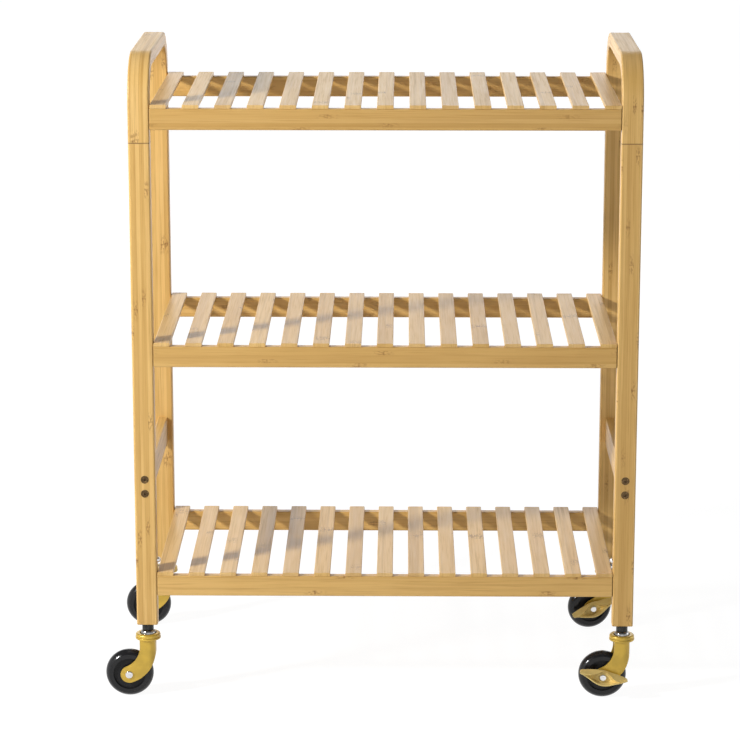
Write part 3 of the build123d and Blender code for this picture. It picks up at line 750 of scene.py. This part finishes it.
def pressed_sheet(name):
    """The pedal before it is put in place: across, in front of the plate's back, and up."""
    shape = bmesh.new()
    rows = []
    for across, *points in PEDAL_STATIONS:
        row = []
        for forward, up in pedal_section(*points):
            place = [distance / MM_PER_METRE for distance in (across, forward, up)]
            row.append(shape.verts.new(place))
        rows.append(row)
    for row, next_row in zip(rows, rows[1:]):
        for index in range(len(row) - 1):
            shape.faces.new((row[index], row[index + 1], next_row[index + 1], next_row[index]))
    bmesh.ops.recalc_face_normals(shape, faces=shape.faces)
    if sum(face.normal.z for face in shape.faces) < 0.0:
        bmesh.ops.reverse_faces(shape, faces=shape.faces)
    piece = mesh_object(name, shape)
    piece.modifiers.new("smooth_form", "SUBSURF").levels = 3
    sheet = piece.modifiers.new("sheet", "SOLIDIFY")
    sheet.thickness = PEDAL_SHEET
    sheet.offset = -1.0
    boss = tube(name + "_boss", PEDAL_BOSS_RADIUS, -PEDAL_BOSS_LENGTH, PEDAL_SHEET * 0.6)
    bore = tube(name + "_bore", PEDAL_BORE_RADIUS, -2 * PEDAL_BOSS_LENGTH, 2 * PEDAL_BOSS_LENGTH)
    for cutter, operation in ((boss, "UNION"), (bore, "DIFFERENCE")):
        joined = piece.modifiers.new(cutter.name, "BOOLEAN")
        joined.operation = operation
        joined.object = cutter
    edge = piece.modifiers.new("edge", "BEVEL")
    edge.width = PEDAL_EDGE_ROUND
    edge.segments = 2
    edge.limit_method = "ANGLE"
    edge.angle_limit = PEDAL_EDGE_ANGLE
    apply_modifiers(piece)
    for cutter in (boss, bore):
        bpy.data.objects.remove(cutter)
    return piece


def joint_named(name):
    """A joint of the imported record."""
    for joint in frame["record"]["behaviour"]["joints"]:
        if joint["name"] == name:
            return joint
    raise RuntimeError(f"no joint is named {name}")


class CART_OT_brake_pedals(bpy.types.Operator):
    """Press a smooth sheet pedal for each castor on the right, in place of the plain ones"""

    bl_idname = "cart.brake_pedals"
    bl_label = "Brake pedals"

    def execute(self, context):
        gold = bpy.data.materials["gold_paint"]
        axle_middle = Vector(joint_named("front_right_brake_press")["pos_m"])
        # The plain pedal starts at its boss, which the plate's back stands on.
        boss_start = axle_middle.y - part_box("front_right_brake_pedal")[1].y
        plate_back = boss_start + PEDAL_BOSS_LENGTH
        for end in ENDS:
            name = f"{end}_right_brake_pedal"
            joint = joint_named(f"{end}_right_brake_press")
            outward = Vector(joint["axis"]).normalized()
            rightward = UP.cross(outward)
            pressed = Quaternion(outward, math.radians(-joint["range_deg"][0]))
            piece = pressed_sheet(f"{end}_pressed_pedal")
            for vertex in piece.data.vertices:
                across, forward, height = vertex.co
                arm = rightward * across + outward * (plate_back + forward) + UP * height
                vertex.co = Vector(joint["pos_m"]) + pressed @ arm
            # The three directions above mirror the sheet, so its faces are turned back outward.
            piece.data.flip_normals()
            piece.data.shade_smooth()
            piece.data.set_sharp_from_angle(angle=PEDAL_CREASE_ANGLE)
            piece.data.materials.append(gold)
            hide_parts(name)
            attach(piece, f"{end}_right_brake")
        return {"FINISHED"}


# ---------------------------------------------------------------- studio
WHITE = (1.0, 1.0, 1.0, 1.0)
FLOOR_HALF_WIDTH = 9.0
# The floor's glow by the cart, how far off it has risen to plain white, and the matt share that
# keeps the shadow.
FLOOR_GLOW = 0.94
FLOOR_GLOW_REACH = (1.2, 3.2)
FLOOR_MATT_SHARE = 0.16
# The surroundings by height: what lights the cart, as shares of the sky's strength, and what shows
# in its metal.
SKY_OVERHEAD_SHARE = 0.45
MIRRORED_HORIZON = 0.95
MIRRORED_CEILING = 0.14
LAMP_TARGET = (0.0, 0.0, 0.42)
# Each lamp's name, place, width and the setting that holds its power.
LAMPS = (
    ("key_lamp", (-2.16, -1.29, 1.54), 0.286, "key_watts"),
    ("fill_lamp", (0.3, -3.3, 1.0), 2.4, "fill_watts"),
    ("rear_lamp", (0.0, 3.4, 1.25), 2.4, "rear_watts"),
    ("side_lamp", (3.1, 0.6, 0.9), 1.6, "side_watts"),
    ("top_lamp", (0.0, 0.3, 2.5), 1.6, "top_watts"),
)


def floor_material():
    """A matt pale floor that stays white to the eye and in reflections, and takes soft shadows."""
    material, nodes = new_material("studio_floor")
    x, y, z = place_of(nodes)
    mottle = nodes.noise(nodes.vector(x, y, z), scale=3.0)
    colour = nodes.blend(nodes.spread(mottle, 0.3, 0.7), (0.80, 0.80, 0.80), (0.82, 0.82, 0.82))
    path = nodes.tree.nodes.new("ShaderNodeLightPath")
    seen = nodes.math("MAXIMUM", path.outputs["Is Camera Ray"], path.outputs["Is Glossy Ray"])
    seen = nodes.math("MAXIMUM", seen, path.outputs["Is Transmission Ray"])
    hidden = nodes.math("MULTIPLY", seen, 1.0 - FLOOR_MATT_SHARE)
    matt_share = nodes.math("SUBTRACT", 1.0, hidden)
    matt = nodes.add(
        "ShaderNodeBsdfDiffuse", Color=nodes.blend(matt_share, (0.0, 0.0, 0.0), colour)
    )
    squares = nodes.math("ADD", nodes.math("POWER", x, 2.0), nodes.math("POWER", y, 2.0))
    away = nodes.spread(nodes.math("SQRT", squares), *FLOOR_GLOW_REACH, FLOOR_GLOW, 1.0)
    glow = nodes.add(
        "ShaderNodeEmission", Color=WHITE, Strength=nodes.math("MULTIPLY", seen, away)
    )
    both = nodes.tree.nodes.new("ShaderNodeAddShader")
    nodes.fill(both.inputs[0], matt.outputs[0])
    nodes.fill(both.inputs[1], glow.outputs[0])
    nodes.add("ShaderNodeOutputMaterial", Surface=both.outputs[0])
    return material


def pale_world(strength):
    """Pale surroundings, brightest at the horizon, and plain white to the eye."""
    world = bpy.data.worlds.new("studio_world")
    world.use_nodes = True
    bpy.context.scene.world = world
    nodes = Nodes(world)
    place = nodes.tree.nodes.new("ShaderNodeTexCoord").outputs["Generated"]
    height = nodes.add("ShaderNodeSeparateXYZ", Vector=place).outputs["Z"]
    overhead = strength * SKY_OVERHEAD_SHARE
    glow = nodes.spread(nodes.math("ABSOLUTE", height), 0.25, 0.85, strength, overhead)
    path = nodes.tree.nodes.new("ShaderNodeLightPath")
    seen = nodes.math("MAXIMUM", path.outputs["Is Camera Ray"], path.outputs["Is Transmission Ray"])
    room = nodes.spread(height, 0.25, 0.65, MIRRORED_HORIZON, MIRRORED_CEILING)
    mirrored = nodes.math("MULTIPLY", room, path.outputs["Is Glossy Ray"])
    level = nodes.math("MAXIMUM", nodes.math("MAXIMUM", glow, seen), mirrored)
    background = nodes.add("ShaderNodeBackground", Color=WHITE, Strength=level)
    nodes.add("ShaderNodeOutputWorld", Surface=background.outputs[0])


def soft_lamp(name, place, width, watts):
    """A square soft lamp that faces the middle of the cart."""
    data = bpy.data.lights.new(name, "AREA")
    data.shape = "SQUARE"
    data.size = width
    data.energy = watts
    lamp = bpy.data.objects.new(name, data)
    lamp.location = place
    lamp.rotation_euler = (Vector(LAMP_TARGET) - Vector(place)).to_track_quat("-Z", "Y").to_euler()
    bpy.context.scene.collection.objects.link(lamp)


class CART_OT_studio(bpy.types.Operator):
    """Set up the pale floor, the surroundings, the lamps and the camera"""

    bl_idname = "cart.studio"
    bl_label = "Studio"

    def execute(self, context):
        scene = context.scene
        settings = scene.cart_studio
        shape = bmesh.new()
        bmesh.ops.create_grid(shape, x_segments=1, y_segments=1, size=FLOOR_HALF_WIDTH)
        floor = mesh_object("studio_floor", shape)
        floor.data.materials.append(floor_material())

        pale_world(settings.sky_strength)
        for name, place, width, power in LAMPS:
            soft_lamp(name, place, width, getattr(settings, power))

        data = bpy.data.cameras.new("studio_camera")
        data.lens = settings.lens
        data.sensor_width = 36.0
        data.clip_end = 100.0
        camera = bpy.data.objects.new("studio_camera", data)
        camera.location = settings.camera_place
        camera.rotation_euler = (math.pi / 2 - settings.camera_pitch, 0.0, settings.camera_yaw)
        scene.collection.objects.link(camera)
        scene.camera = camera
        scene.view_settings.view_transform = "Standard"
        return {"FINISHED"}


class CART_PT_panel(bpy.types.Panel):
    """Buttons for each group of pieces and for the studio"""

    bl_label = "Bamboo Cart"
    bl_idname = "CART_PT_panel"
    bl_space_type = "VIEW_3D"
    bl_region_type = "UI"
    bl_category = "Cart"

    def draw(self, context):
        for operator in OPERATORS:
            self.layout.operator(operator.bl_idname)
        for name in SETTINGS:
            group = getattr(context.scene, name)
            for field in group.bl_rna.properties.keys():
                if field not in ("rna_type", "name"):
                    self.layout.prop(group, field)


SETTINGS = {
    "cart_bamboo": BambooSettings,
    "cart_castors": CastorSettings,
    "cart_studio": StudioSettings,
}
OPERATORS = (
    CART_OT_studio,
    CART_OT_side_frames,
    CART_OT_shelves,
    CART_OT_fasteners,
    CART_OT_castors,
    CART_OT_brake_pedals,
)


def register():
    for name, settings in SETTINGS.items():
        bpy.utils.register_class(settings)
        setattr(bpy.types.Scene, name, bpy.props.PointerProperty(type=settings))
    for operator in OPERATORS:
        bpy.utils.register_class(operator)
    bpy.utils.register_class(CART_PT_panel)


def unregister():
    bpy.utils.unregister_class(CART_PT_panel)
    for operator in reversed(OPERATORS):
        bpy.utils.unregister_class(operator)
    for name, settings in SETTINGS.items():
        delattr(bpy.types.Scene, name)
        bpy.utils.unregister_class(settings)


def main():
    """Build everything."""
    register()
    bpy.ops.cart.studio()
    bpy.ops.cart.side_frames()
    bpy.ops.cart.shelves()
    bpy.ops.cart.fasteners()
    bpy.ops.cart.castors()
    bpy.ops.cart.brake_pedals()


if __name__ == "__main__":
    main()
